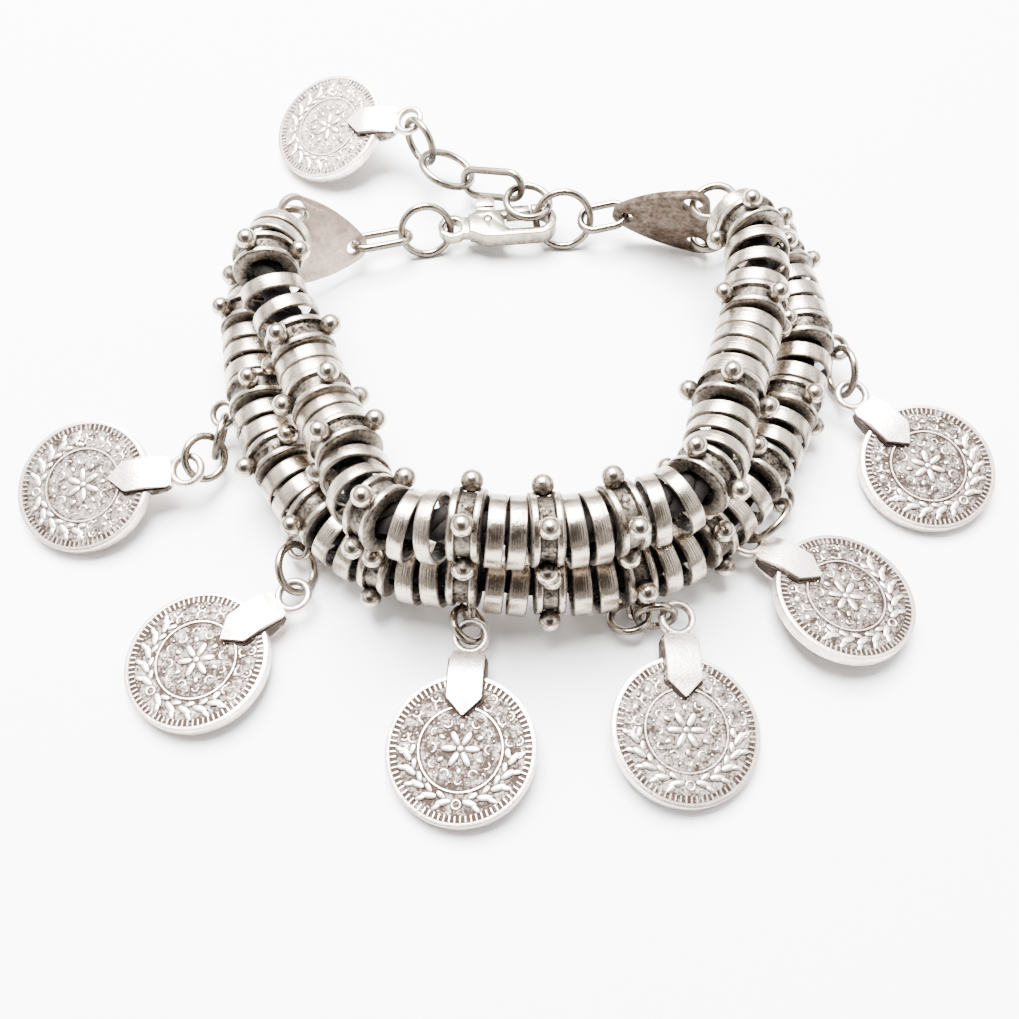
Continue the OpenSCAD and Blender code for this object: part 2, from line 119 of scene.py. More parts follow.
print("helpers ready")


# %% [markdown]
# ## Tarnish and painted shade, painted by shape
# Silver like this is blackened and then polished again, so the high places are bright and the
# hollows stay dark. Each model carries one number at each of its points, 0 where polishing reaches
# and 1 where it doesn't, and the finish reads that number. On some pieces the same number also
# carries painted shade: in the gaps where parts meet, on sides turned down or away from the light,
# and over whole pieces that lie in shade.

# %% Painting the tarnish and the painted shade
POLISHED = 0.02
BLACK_OXIDE_AND_SHADE = 0.97
SIDE_AND_UNDER_SHADE = 0.9
TOP_BLACK = 0.03


def paint_tarnish_and_shade(piece, rule):
    mesh = piece.data
    attribute = mesh.attributes.get("tarnish_and_shade") or mesh.attributes.new("tarnish_and_shade", "FLOAT", "POINT")
    for point, value in zip(mesh.vertices, attribute.data):
        value.value = rule(point.co)


def paint_across(piece):
    """Each point's place across the ring's width, for the fine lines left by turning it."""
    across = piece.data.attributes.new("across", "FLOAT", "POINT")
    for point, value in zip(piece.data.vertices, across.data):
        value.value = point.co.z


def paint_shade_by_facing(piece):
    """Painted shade: what faces up stays bright, and the sides and the underside are painted dark.
    """
    for point, value in zip(piece.data.vertices, piece.data.attributes["tarnish_and_shade"].data):
        value.value = min(SIDE_AND_UNDER_SHADE, max(TOP_BLACK, SIDE_AND_UNDER_SHADE - point.normal.z))


def smooth(piece, degrees=35):
    only(piece)
    bpy.ops.object.shade_smooth_by_angle(angle=math.radians(degrees))


print("tarnish is kept in a point attribute")

# %% [markdown]
# ## The shared finish
# One node group turns the number for tarnish and painted shade into a colour, a roughness and a
# height. Two noises break it up: a broad one for cloudy patches and a fine one for scratches and
# pits. Each material places the group with its own colours and numbers.

# %% Helpers for nodes
def add_node(tree, kind, inputs=(), **settings):
    node = tree.nodes.new(kind)
    for key, value in settings.items():
        setattr(node, key, value)
    for key, value in dict(inputs).items():
        if isinstance(value, bpy.types.NodeSocket):
            tree.links.new(value, node.inputs[key])
        else:
            node.inputs[key].default_value = value
    return node


def math_node(tree, operation, first, second=0.0, third=0.0, clamp=False):
    inputs = {0: first, 1: second, 2: third}
    return add_node(tree, "ShaderNodeMath", inputs, operation=operation, use_clamp=clamp).outputs[0]


def mix_colour(tree, factor, first, second):
    node = add_node(tree, "ShaderNodeMix", data_type="RGBA")
    sockets = {"Factor_Float": factor, "A_Color": first, "B_Color": second}
    for socket in node.inputs:
        if socket.identifier in sockets:
            value = sockets[socket.identifier]
            if isinstance(value, bpy.types.NodeSocket):
                tree.links.new(value, socket)
            else:
                socket.default_value = value
    return [out for out in node.outputs if out.identifier == "Result_Color"][0]


print("node helpers ready")

# %% The group's own sockets
antique = bpy.data.node_groups.new("Antiqued metal", "ShaderNodeTree")
for socket_name, kind, value in (
    ("Clean", "NodeSocketColor", (0.8, 0.77, 0.74, 1)),
    ("Oxide", "NodeSocketColor", (0.03, 0.027, 0.026, 1)),
    ("Darkening", "NodeSocketFloat", 0.2),
    ("Patches", "NodeSocketFloat", 350.0),
    ("Patchiness", "NodeSocketFloat", 0.4),
    ("Grain", "NodeSocketFloat", 2600.0),
    ("Polish", "NodeSocketFloat", 0.2),
):
    socket = antique.interface.new_socket(socket_name, in_out="INPUT", socket_type=kind)
    socket.default_value = value
for socket_name, kind in (
    ("Colour", "NodeSocketColor"), ("Roughness", "NodeSocketFloat"), ("Height", "NodeSocketFloat")
):
    antique.interface.new_socket(socket_name, in_out="OUTPUT", socket_type=kind)
print("the finish group takes", len(antique.interface.items_tree), "sockets")

# %% What the group does with them
given = antique.nodes.new("NodeGroupInput").outputs
place = add_node(antique, "ShaderNodeTexCoord").outputs["Object"]
cloud = add_node(
    antique, "ShaderNodeTexNoise",
    {"Vector": place, "Scale": given["Patches"], "Detail": 4.0, "Roughness": 0.6},
).outputs["Fac"]
grain = add_node(
    antique, "ShaderNodeTexNoise",
    {"Vector": place, "Scale": given["Grain"], "Detail": 3.0, "Roughness": 0.7},
).outputs["Fac"]

NOISE_MIDDLE = 0.5
DULLER_WHERE_DARK = 0.35
DULLER_IN_GRAIN = 0.12


def swing(noise):
    """How far a noise goes up or down from its middle, times the patchiness."""
    from_middle = math_node(antique, "SUBTRACT", noise, NOISE_MIDDLE)
    return math_node(antique, "MULTIPLY", from_middle, given["Patchiness"])


darkness = math_node(antique, "ADD", given["Darkening"], swing(cloud))
darkness = math_node(antique, "ADD", darkness, swing(grain), clamp=True)
results = antique.nodes.new("NodeGroupOutput")
colour = mix_colour(antique, darkness, given["Clean"], given["Oxide"])
antique.links.new(colour, results.inputs["Colour"])
dullness = math_node(antique, "MULTIPLY_ADD", darkness, DULLER_WHERE_DARK, given["Polish"])
dullness = math_node(antique, "MULTIPLY_ADD", grain, DULLER_IN_GRAIN, dullness, clamp=True)
antique.links.new(dullness, results.inputs["Roughness"])
antique.links.new(math_node(antique, "ADD", grain, cloud), results.inputs["Height"])
print("the finish group has", len(antique.nodes), "nodes")


# %% [markdown]
# ## The metals
# Every metal piece uses the group. The rings are a dark silver, turned on a lathe, with hollows
# that are almost black. The coins are paler and warmer, and the wire and the clasp are darker
# than both. The principled shader stays in the material.

# %% Metals from the shared finish
def metal(name, clean, oxide, patchiness, polish, bump=0.1, patches=350.0, grain=2600.0,
          turning=0.0):
    material = bpy.data.materials.new(name)
    material.use_nodes = True
    tree = material.node_tree
    shader = tree.nodes["Principled BSDF"]
    shader.inputs["Metallic"].default_value = 1.0
    finish = add_node(tree, "ShaderNodeGroup", node_tree=antique)
    finish.inputs["Clean"].default_value = (*clean, 1)
    finish.inputs["Oxide"].default_value = (*oxide, 1)
    for key, value in (("Patchiness", patchiness), ("Polish", polish),
                       ("Patches", patches), ("Grain", grain)):
        finish.inputs[key].default_value = value
    number = add_node(tree, "ShaderNodeAttribute", attribute_name="tarnish_and_shade").outputs["Fac"]
    tree.links.new(number, finish.inputs["Darkening"])
    height = finish.outputs["Height"]
    if turning:
        across = add_node(tree, "ShaderNodeAttribute", attribute_name="across").outputs["Fac"]
        lines = add_node(
            tree, "ShaderNodeTexNoise", {"W": across, "Scale": 6.0, "Detail": 3.0},
            noise_dimensions="1D").outputs["Fac"]
        height = math_node(tree, "MULTIPLY_ADD", lines, turning, height)
    relief = add_node(
        tree, "ShaderNodeBump", {"Height": height, "Strength": bump, "Distance": 0.0001})
    tree.links.new(finish.outputs["Colour"], shader.inputs["Base Color"])
    tree.links.new(finish.outputs["Roughness"], shader.inputs["Roughness"])
    tree.links.new(relief.outputs["Normal"], shader.inputs["Normal"])
    return material


DARK = (0.008, 0.006, 0.0045)
ring_silver = metal("Ring silver", (0.45, 0.385, 0.315), oxide=DARK, polish=0.12, patchiness=1.1,
                    patches=450.0, bump=0.3, turning=2.5)
coin_silver = metal("Coin silver", (0.90, 0.78, 0.71), oxide=(0.03, 0.021, 0.017), polish=0.22,
                    patchiness=1.0, patches=900.0, grain=3500.0, bump=0.3)
wire_silver = metal("Wire silver", (0.40, 0.345, 0.28), oxide=DARK, polish=0.12, patchiness=0.6)
clasp_silver = metal("Clasp silver", (0.33, 0.285, 0.23), oxide=DARK, polish=0.16, patchiness=0.9)
print("four metals from one group")


# %% [markdown]
# ## The rings of the strands
# A plain ring is a short wide tube. Its section is a small rectangle that is spun once round,
# as a lathe would turn it. The ball ring is thicker, with a waist between two rims, and its
# balls sit in the waist.

# %% Turning a ring from its section
RING = {"outer": 3.85, "bore": 3.35, "width": 1.75, "spacing": 1.65, "drop": 0.8}
BALL_RING = {"outer": 3.85, "bore": 2.35, "width": 3.25, "spacing": 3.15, "rim": 0.75, "slope": 0.2,
             "waist": 3.35}
BALL = {"radius": 1.2, "out": 4.5}
ROUND = 2 * math.pi
RING_STEPS = 48


def ring_section(name, size):
    deselect_everything()
    bpy.ops.mesh.primitive_plane_add(size=1)
    ring = named(name)
    bpy.ops.object.mode_set(mode="EDIT")
    thick = size["outer"] - size["bore"]
    bpy.ops.transform.rotate(value=math.pi / 2, orient_axis="X", center_override=(0, 0, 0))
    bpy.ops.transform.resize(value=(thick, 1, size["width"]), center_override=(0, 0, 0))
    bpy.ops.transform.translate(value=(size["bore"] + thick / 2, 0, 0))
    return ring


def spin_section(ring):
    bpy.ops.mesh.select_all(action="SELECT")
    bpy.ops.mesh.delete(type="ONLY_FACE")
    bpy.ops.mesh.select_all(action="SELECT")
    bpy.ops.mesh.spin(steps=RING_STEPS, angle=ROUND, center=(0, 0, 0), axis=(0, 0, 1))
    bpy.ops.mesh.select_all(action="SELECT")
    bpy.ops.mesh.remove_doubles(threshold=0.0005)
    bpy.ops.mesh.normals_make_consistent(inside=False)
    bpy.ops.object.mode_set(mode="OBJECT")
    smooth(ring)


plain_ring = ring_section("plain ring", RING)
pick(plain_ring, lambda at: True, "VERT")
bpy.ops.mesh.bevel(offset=0.2, segments=3, affect="VERTICES")
spin_section(plain_ring)
print("plain ring:", len(plain_ring.data.polygons), "faces")


# %% Painting the plain ring
EDGE_BLACK = 0.6


# Oxide and painted shade: the bore and the side faces, where neighbouring rings meet, are painted
# dark; only the outside is polished bright
def plain_ring_oxide_and_shade(at):
    radius = math.hypot(at.x, at.y)
    if radius > RING["outer"] - 0.01:
        return POLISHED
    return BLACK_OXIDE_AND_SHADE if radius < RING["bore"] + 0.05 else EDGE_BLACK


paint_tarnish_and_shade(plain_ring, plain_ring_oxide_and_shade)
paint_across(plain_ring)
print("bright outside, black inside and along the edges")

# %% [markdown]
# ## The ball ring's waist
# The outer edge of the section is cut into five, and the middle of it is pushed in. So the two rims
# stand up on either side, as on the real ring, where polishing never reaches the waist. The waist,
# the bore and the faces towards the bore are painted dark, partly as that oxide and partly as
# painted shade between the rims.

# %% The waisted ring
waisted_ring = ring_section("waisted ring", BALL_RING)
outer_edge = BALL_RING["outer"] - 0.01
half_width = BALL_RING["width"] / 2
pick(waisted_ring, lambda at: at.x > outer_edge, "EDGE")
bpy.ops.mesh.subdivide(number_cuts=4)
rim_at = half_width - BALL_RING["rim"]
waist_at = rim_at - BALL_RING["slope"]
waist_depth = BALL_RING["outer"] - BALL_RING["waist"]
for side in (-1, 1):
    for share, wanted, depth in ((0.6, rim_at, 0), (0.2, waist_at, waist_depth)):
        now = side * share * half_width
        pick(waisted_ring, lambda at: at.x > outer_edge and abs(at.z - now) < 0.02, "VERT")
        bpy.ops.transform.translate(value=(-depth, 0, side * wanted - now))
pick(waisted_ring, lambda at: abs(abs(at.z) - half_width) < 0.01 and at.x > 3, "VERT")
bpy.ops.mesh.bevel(offset=0.3, segments=3, affect="VERTICES")
pick(waisted_ring, lambda at: abs(abs(at.z) - rim_at) < 0.01 and at.x > outer_edge, "VERT")
bpy.ops.mesh.bevel(offset=0.1, segments=2, affect="VERTICES")
spin_section(waisted_ring)
print("waisted ring:", len(waisted_ring.data.polygons), "faces")


# %% Painting the waisted ring
WAIST_BLACK = 0.82
FACE_BLACK = 0.45
FACE_SHADE_INWARDS = 0.4


# Oxide and painted shade: the waist, the bore and the faces towards the bore are painted darker
def waisted_ring_oxide_and_shade(at):
    radius = math.hypot(at.x, at.y)
    if radius > BALL_RING["outer"] - 0.03:
        return POLISHED
    if abs(at.z) > half_width - 0.02:
        inwards = (BALL_RING["outer"] - radius) / (BALL_RING["outer"] - BALL_RING["bore"])
        return FACE_BLACK + FACE_SHADE_INWARDS * inwards
    return WAIST_BLACK if radius > BALL_RING["waist"] - 0.1 else BLACK_OXIDE_AND_SHADE


paint_tarnish_and_shade(waisted_ring, waisted_ring_oxide_and_shade)
paint_across(waisted_ring)
print("bright rims, black waist")

# %% [markdown]
# ## The balls and the soldered eyelets
# A ball is a small sphere with a flattened foot of solder under it. Six rings of the lower
# strand carry a wire eyelet in place of one ball, and the coins hang on those.

# %% A ball on its foot of solder
deselect_everything()
bpy.ops.mesh.primitive_uv_sphere_add(segments=20, ring_count=12, radius=BALL["radius"])
ball = named("ball")
bpy.ops.object.mode_set(mode="EDIT")
bpy.ops.transform.rotate(value=math.pi / 2, orient_axis="Y", center_override=(0, 0, 0))
pick(ball, lambda at: at.x < -0.8 * BALL["radius"], "VERT")
bpy.ops.transform.resize(value=(1, 1.25, 1.25), center_override=(-BALL["radius"], 0, 0))
bpy.ops.object.mode_set(mode="OBJECT")
ball.data.transform(Matrix.Translation((BALL["out"], 0, 0)))
smooth(ball, 80)
SOLDER_OXIDE_AND_SHADE = 0.8
# Oxide and painted shade: all of the ball but its outer cap is painted dark, down to its foot on
# the ring
paint_tarnish_and_shade(ball, lambda at: POLISHED if at.x > BALL["out"] - 0.2 else SOLDER_OXIDE_AND_SHADE)
print("ball:", len(ball.data.polygons), "faces")

# %% A wire ring
WIRE_RADIUS = 0.45
SEAM_SWELL = 1.06
WIRE_INSIDE_OXIDE_AND_SHADE = 0.6
WIRE_OUTSIDE_BLACK = 0.08


def wire_ring(name, radius, wire=WIRE_RADIUS, steps=40):
    deselect_everything()
    bpy.ops.mesh.primitive_torus_add(
        major_radius=radius, minor_radius=wire, major_segments=steps, minor_segments=12)
    ring = named(name)
    # The wire was cut and closed again, which leaves a thin seam of solder
    bpy.ops.object.mode_set(mode="EDIT")
    pick(ring, lambda at: at.x > 0 and abs(at.y) < 0.05, "VERT")
    bpy.ops.transform.resize(value=(1, 1, SEAM_SWELL), center_override=(radius, 0, 0))
    bpy.ops.object.mode_set(mode="OBJECT")
    smooth(ring, 80)
    # Oxide and painted shade: the inside of the ring is painted darker than its outside
    inside = radius - 0.3 * wire
    paint_tarnish_and_shade(ring, lambda at: WIRE_INSIDE_OXIDE_AND_SHADE if math.hypot(at.x, at.y) < inside
                  else WIRE_OUTSIDE_BLACK)
    return ring


EYELET = {"radius": 1.45, "wire": 0.4, "out": 4.95}
eyelet = wire_ring("eyelet", EYELET["radius"], EYELET["wire"], 28)
print("eyelet:", len(eyelet.data.polygons), "faces")

# %% [markdown]
# ## The way of the strands
# Each strand follows a smooth line through its ball rings. The table gives the place of each
# ball ring, the turn of its balls, the plain rings after it, their tip, and where needed the
# way of the cord there. The rows are the same as in the solid part, in millimetres.

# %% The two strands' tables
NO_BALLS = None
upper_route = [
    ((-28.46, 28.91, 14.29), NO_BALLS, 0, 0),
    ((-28.86, 24.91, 15.18), 73, 2, 9, (0.169, -0.986, 0.009)),
    ((-24.20, 14.78, 12.66), 61, 2, 1),
    ((-21.08, 7.00, 12.78), 20, 2, 0),
    ((-17.73, 0.22, 14.01), 60, 2, 10),
    ((-13.44, -8.69, 15.54), 76, 2, 12),
    ((-4.22, -10.63, 16.56), 62, 2, 0),
    ((3.60, -10.94, 16.18), 64, 2, 3),
    ((11.46, -9.41, 15.80), 46, 2, 10),
    ((20.34, -4.37, 14.98), 25, 3, 7),
    ((24.43, 6.84, 13.42), 6, 4, 3),
    ((28.77, 19.83, 12.67), 60, 3, 6),
    ((29.80, 32.60, 12.80), 6, 0, 0, (-0.31, 0.94, -0.14)),
    ((29.40, 33.90, 12.50), NO_BALLS, 0, 0),
]
upper_lead = ((0.145, 0.947, -0.288), (-0.472, 0.874, -0.117))
upper_end_rings = ((3.8, 5.9), (3.3,))
lower_route = [
    ((-31.85, 25.39, 6.03), NO_BALLS, 0, 0),
    ((-32.28, 23.51, 6.01), 48, 3, 3),
    ((-30.00, 11.90, 6.00), 85, 2, 1),
    ((-26.44, 3.28, 6.27), 20, 2, 1),
    ((-21.40, -3.70, 6.00), 32, 2, 2),
    ((-13.77, -9.31, 5.44), 66, 2, 1),
    ((-4.70, -11.30, 6.55), 70, 2, 1),
    ((4.30, -12.00, 6.20), 66, 2, 1),
    ((13.40, -10.70, 6.1), 28, 2, 1),
    ((21.82, -6.17, 5.82), 60, 2, 2),
    ((28.70, 1.90, 6.00), 14, 2, 2),
    ((33.41, 11.04, 5.64), 60, 2, 2),
    ((36.30, 20.90, 6.00), 35, 3, 2),
    ((35.02, 32.52, 5.87), -1, 0, 0, (-0.264, 0.964, -0.041)),
    ((32.15, 40.18, 5.39), NO_BALLS, 0, 0),
]
lower_lead = ((-0.108, 0.994, -0.013), (-0.923, 0.006, -0.385))
lower_end_rings = ((2.85, 4.85), (2.66, 4.6))
# Row of the lower strand: the turn of its eyelet round the ring, and the eyelet's twist
lower_eyelets = {
    2: (-18, -17), 4: (-39, 1), 6: (-63.2, 52.9),
    8: (-58, 135), 10: (-36.4, 2.3), 12: (-18, 7),
}
print(len(upper_route), "and", len(lower_route), "rows")


# %% [markdown]
# ## From a table to a line
# Between two rows the cord follows a cubic curve that leaves each row in its own heading. A
# strand is an object with its points and headings, so both strands share the same few lines.

# %% A strand's line
class Strand:
    def __init__(self, route, lead, end_rings, eyelets):
        self.points = [Vector(row[0]) for row in route]
        self.turns = [row[1] for row in route]
        self.plain = [row[2] for row in route]
        self.tips = [row[3] for row in route]
        self.lead = [Vector(way).normalized() for way in lead]
        self.end_rings = end_rings
        self.eyelets = eyelets
        ways = [Vector(row[4]).normalized() if len(row) > 4 else None for row in route]
        self.heading = [-self.lead[0]]
        for i in range(1, len(route) - 1):
            self.heading.append(ways[i] or (self.points[i + 1] - self.points[i - 1]).normalized())
        self.heading.append(self.lead[1])

    def at(self, i, t):
        p, q = self.points[i], self.points[i + 1]
        length = (q - p).length
        u, v = self.heading[i] * length, self.heading[i + 1] * length
        return ((2 * t**3 - 3 * t**2 + 1) * p + (t**3 - 2 * t**2 + t) * u
                + (3 * t**2 - 2 * t**3) * q + (t**3 - t**2) * v)

    def way(self, i, t):
        return (self.at(i, t + 0.01) - self.at(i, t - 0.01)).normalized()

    def beyond(self, end, distance):
        """Place and way at a distance past the last ball ring of an end (0 left, 1 right)."""
        i = len(self.points) - 2 if end else 0
        length = (self.points[i + 1] - self.points[i]).length
        if distance >= length:
            tip = self.points[-1] if end else self.points[0]
            return tip + self.lead[end] * (distance - length), self.lead[end]
        t = distance / length if end else 1 - distance / length
        return self.at(i, t), self.way(i, t) * (1 if end else -1)


upper_strand = Strand(upper_route, upper_lead, upper_end_rings, {})
lower_strand = Strand(lower_route, lower_lead, lower_end_rings, lower_eyelets)
for strand in (upper_strand, lower_strand):
    print("line length in mm:", round(sum(
        (q - p).length for p, q in zip(strand.points, strand.points[1:])), 1))


# %% Standing a piece on the line
def stood(place, way, side):
    z = way.normalized()
    x = (side - side.dot(z) * z).normalized()
    y = z.cross(x)
    turn = Matrix((x, y, z)).transposed().to_4x4()
    return Matrix.Translation(place) @ turn


def outward(way):
    return way.cross(Vector((0, 0, 1))).normalized()


def rotation(x=0.0, y=0.0, z=0.0):
    return (Matrix.Rotation(math.radians(z), 4, "Z") @ Matrix.Rotation(math.radians(y), 4, "Y")
            @ Matrix.Rotation(math.radians(x), 4, "X"))


TURN_OF_TIPS = 97


def tipped(place, way, tip, number):
    """A ring that hangs on the cord and leans by its tip, each ring another way."""
    angle = math.radians(TURN_OF_TIPS * number)
    return (stood(place, way, outward(way)) @ Matrix.Translation((0, RING["drop"], 0))
            @ rotation(tip * math.cos(angle), tip * math.sin(angle)))


print("a ring's frame has its bore along the cord")

# %% [markdown]
# ## Stringing the rings
# Every ring is a copy of one of the four models, each with its own mesh. Balls within 55 degrees
# of an eyelet are left out. The plain rings between two ball rings share the room evenly and
# hang a little below the cord, because their bore is wide. No two real rings are quite as wide,
# so where they stand upright each is drawn out until a narrow dark gap is left.

# %% Drawing out the upright rings
UPRIGHT_TIP = 3
BALL_RING_SPREAD = 1.05
RING_GAP = 0.26
WIDEST_RING = 2.12


def spread(strand, i, room):
    """Rings that hardly tip are as wide as their room allows."""
    share = min(room - RING_GAP, WIDEST_RING) / RING["width"]
    return Matrix.Diagonal((1, 1, max(1, share) if strand.tips[i] <= UPRIGHT_TIP else 1, 1))


print("a plain ring may be drawn out to", WIDEST_RING, "mm")


# %% A ball ring with its balls
BALL_ROOM = 55


def ball_ring_copies(strand, i):
    here = to_metres @ stood(strand.points[i], strand.heading[i], outward(strand.heading[i]))
    wider = BALL_RING_SPREAD if strand.tips[i] <= UPRIGHT_TIP else 1
    pieces = [copy_of(waisted_ring, here @ Matrix.Diagonal((1, 1, wider, 1)))]
    soldered = strand.eyelets.get(i)
    for quarter in range(4):
        turn = strand.turns[i] + 90 * quarter
        if soldered and abs((turn - soldered[0] + 540) % 360 - 180) <= BALL_ROOM:
            continue
        pieces.append(copy_of(ball, here @ rotation(z=-turn)))
    if soldered:
        stand = rotation(z=-soldered[0]) @ Matrix.Translation((EYELET["out"], 0, 0))
        pieces.append(copy_of(eyelet, here @ stand @ rotation(x=90 + soldered[1])))
    return pieces


print("ball rings with an eyelet:", len(lower_strand.eyelets))


# %% Threading both strands
def thread(strand, name):
    pieces = []
    for i in range(1, len(strand.points) - 1):
        if strand.turns[i] is not NO_BALLS:
            pieces += ball_ring_copies(strand, i)
        length = (strand.points[i + 1] - strand.points[i]).length
        count = strand.plain[i]
        gap = (length - BALL_RING["spacing"] - count * RING["spacing"]) / (count + 1)
        for k in range(count):
            first = BALL_RING["spacing"] / 2 + gap + RING["spacing"] / 2
            t = (first + k * (RING["spacing"] + gap)) / length
            place = tipped(strand.at(i, t), strand.way(i, t), strand.tips[i], i + 3 * k)
            wider = spread(strand, i, RING["spacing"] + gap)
            pieces.append(copy_of(plain_ring, to_metres @ place @ wider))
    for end in (0, 1):
        for k, distance in enumerate(strand.end_rings[end]):
            place, way = strand.beyond(end, distance)
            pieces.append(copy_of(plain_ring, to_metres @ tipped(place, way, 0, k)))
    print(name, "has", len(pieces), "parts")
    strung = join(pieces, name)
    strung.data.materials.clear()
    strung.data.materials.append(ring_silver)
    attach(strung, "bracelet")
    return strung


upper_rings = thread(upper_strand, "upper_strand_rings")
lower_rings = thread(lower_strand, "lower_strand_rings")
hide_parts("upper_beads")
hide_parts("lower_beads")
for model in (plain_ring, waisted_ring, ball, eyelet):
    remove(model)

# %% [markdown]
# ## The cords
# Each strand hangs on a dark twisted cord. Three plies are laid round the strand's line as
# curves with a round bevel, which is how a ropemaker would make it, and then turned to meshes.

# %% Dark cord finish
cord_fibre = bpy.data.materials.new("Dark cord")
cord_fibre.use_nodes = True
tree = cord_fibre.node_tree
along = add_node(tree, "ShaderNodeTexCoord").outputs["Object"]
fibre = add_node(
    tree, "ShaderNodeTexNoise", {"Vector": along, "Scale": 1800.0, "Detail": 5.0})
shader = tree.nodes["Principled BSDF"]
tree.links.new(
    mix_colour(tree, fibre.outputs["Fac"], (0.003, 0.0025, 0.0025, 1), (0.02, 0.017, 0.015, 1)),
    shader.inputs["Base Color"])
shader.inputs["Roughness"].default_value = 0.85
shader.inputs["Specular IOR Level"].default_value = 0.06
fuzz = add_node(
    tree, "ShaderNodeBump", {"Height": fibre.outputs["Fac"], "Strength": 0.6, "Distance": 0.0002})
tree.links.new(fuzz.outputs["Normal"], shader.inputs["Normal"])
print("cord fibre ready")

# %% Laying three plies round each line
CORD_RADIUS = 1.9
PLY_RADIUS = 0.92
PLY_TURN = 48
CORD_IN_CAP = 1.2
PRESSED = 0.78
SWELL_STEPS = 5


def cord_line(strand, steps=9):
    line = [strand.points[0] + strand.lead[0] * CORD_IN_CAP]
    for i in range(len(strand.points) - 1):
        line += [strand.at(i, k / steps) for k in range(steps)]
    return line + [strand.points[-1], strand.points[-1] + strand.lead[1] * CORD_IN_CAP]


def twisted_cord(strand, name, node):
    line = cord_line(strand)
    plies = []
    for ply in range(3):
        deselect_everything()
        bpy.ops.curve.primitive_nurbs_path_add()
        curve = bpy.context.object
        spline = curve.data.splines[0]
        curve.data.splines.remove(spline)
        spline = curve.data.splines.new("POLY")
        spline.points.add(len(line) - 1)
        for i, point in enumerate(line):
            way = (line[min(i + 1, len(line) - 1)] - line[max(i - 1, 0)]).normalized()
            angle = math.radians(PLY_TURN * i + 120 * ply)
            side = outward(way)
            lift = side.cross(way)
            # The cord is pressed thin in the caps and swells again beside them
            from_mouth = max(0, min(i, len(line) - 1 - i) - 1)
            swell = min(1, PRESSED + (1 - PRESSED) * from_mouth / SWELL_STEPS)
            offset = (CORD_RADIUS - PLY_RADIUS) * (math.cos(angle) * side + math.sin(angle) * lift)
            spline.points[i].co = (*(point + offset * swell), 1)
            spline.points[i].radius = swell
        curve.data.bevel_depth = PLY_RADIUS
        curve.data.bevel_resolution = 2
        curve.data.use_fill_caps = True
        bpy.ops.object.convert(target="MESH")
        plies.append(bpy.context.object)
    cord = join(plies, name)
    cord.data.transform(to_metres)
    cord.data.materials.clear()
    cord.data.materials.append(cord_fibre)
    smooth(cord, 60)
    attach(cord, "bracelet")
    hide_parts(node)
    print(name, "has", len(cord.data.polygons), "faces")


twisted_cord(upper_strand, "upper_twisted_cord", "upper_cord")
twisted_cord(lower_strand, "lower_twisted_cord", "lower_cord")

# %% [markdown]
# ## The coin blank
# A struck coin is a disc with a raised rim and a raised design. It starts as a cylinder whose
# top face is inset again and again: in for a step, down for the field, up for the fine circle.
# Narrow extra insets beside each step keep the dark paint close to it.

# %% The coin's disc
COIN = {"radius": 8.0, "thick": 1.6, "relief": 0.15, "rim": 0.5, "circle": 4.448}
COIN_TOP = COIN["thick"] / 2
FIELD = COIN_TOP - COIN["relief"]
UP, DOWN = COIN["relief"], -COIN["relief"]
# Each step in from the rim: its width, and how far it rises
FRONT_STEPS = (
    (0.42, 0), (0.14, DOWN), (0.6, 0), (0.12, 0), (1.93, 0), (0.18, 0),
    (0.08, UP), (0.14, 0), (0.08, DOWN), (0.2, 0), (2.2, 0),
)
BACK_STEPS = ((0.42, 0), (0.14, DOWN), (0.2, 0), (3.0, 0))
deselect_everything()
bpy.ops.mesh.primitive_cylinder_add(vertices=128, radius=COIN["radius"], depth=COIN["thick"])
disc = named("coin disc")
bpy.ops.object.mode_set(mode="EDIT")
pick(disc, lambda at, normal: normal.z > 0.9)
for step, rise in FRONT_STEPS:
    bpy.ops.mesh.inset(thickness=step, depth=rise)
pick(disc, lambda at, normal: normal.z < -0.9)
for step, rise in BACK_STEPS:
    bpy.ops.mesh.inset(thickness=step, depth=rise)


def on_coin_edge(at):
    outside = math.hypot(at.x, at.y) > COIN["radius"] - 0.05
    return outside and abs(abs(at.z) - COIN_TOP) < 0.01


pick(disc, on_coin_edge, "EDGE")
bpy.ops.mesh.bevel(offset=0.12, segments=2)
bpy.ops.object.mode_set(mode="OBJECT")
print("disc:", len(disc.data.polygons), "faces")

# %% Painting the disc
FIELD_TARNISH = 0.8
WORN = 0.05
CORNER_BLACK = 0.95
COIN_EDGE_TARNISH = 0.2
# Radii on both sides of the ticks and of the fine circle
CORNERS = (7.44, 6.84, 4.53, 4.23)


def disc_tarnish(at):
    radius = math.hypot(at.x, at.y)
    if abs(at.z) > COIN_TOP - 0.02:
        return WORN
    if radius > COIN["radius"] - 0.3:
        return COIN_EDGE_TARNISH
    beside = min(abs(radius - corner) for corner in CORNERS)
    return CORNER_BLACK if beside < 0.08 else FIELD_TARNISH


paint_tarnish_and_shade(disc, disc_tarnish)
smooth(disc)
print("worn rim and circle, black beside them")

# %% [markdown]
# ## The coin's design
# Ticks run round inside the rim, a leaf wreath and four stars fill the ring of the coin, and a
# rosette sits in the middle. Scrolls and pearls fill the rest. Each kind is one small model that
# is copied round the coin.

# %% Painting what stands up
def paint_relief(model, height, foot=CORNER_BLACK):
    """Worn bright above a height over the field, and dark at the foot."""
    paint_tarnish_and_shade(model, lambda at: WORN if at.z > FIELD + height else foot)


print("relief is worn on top")

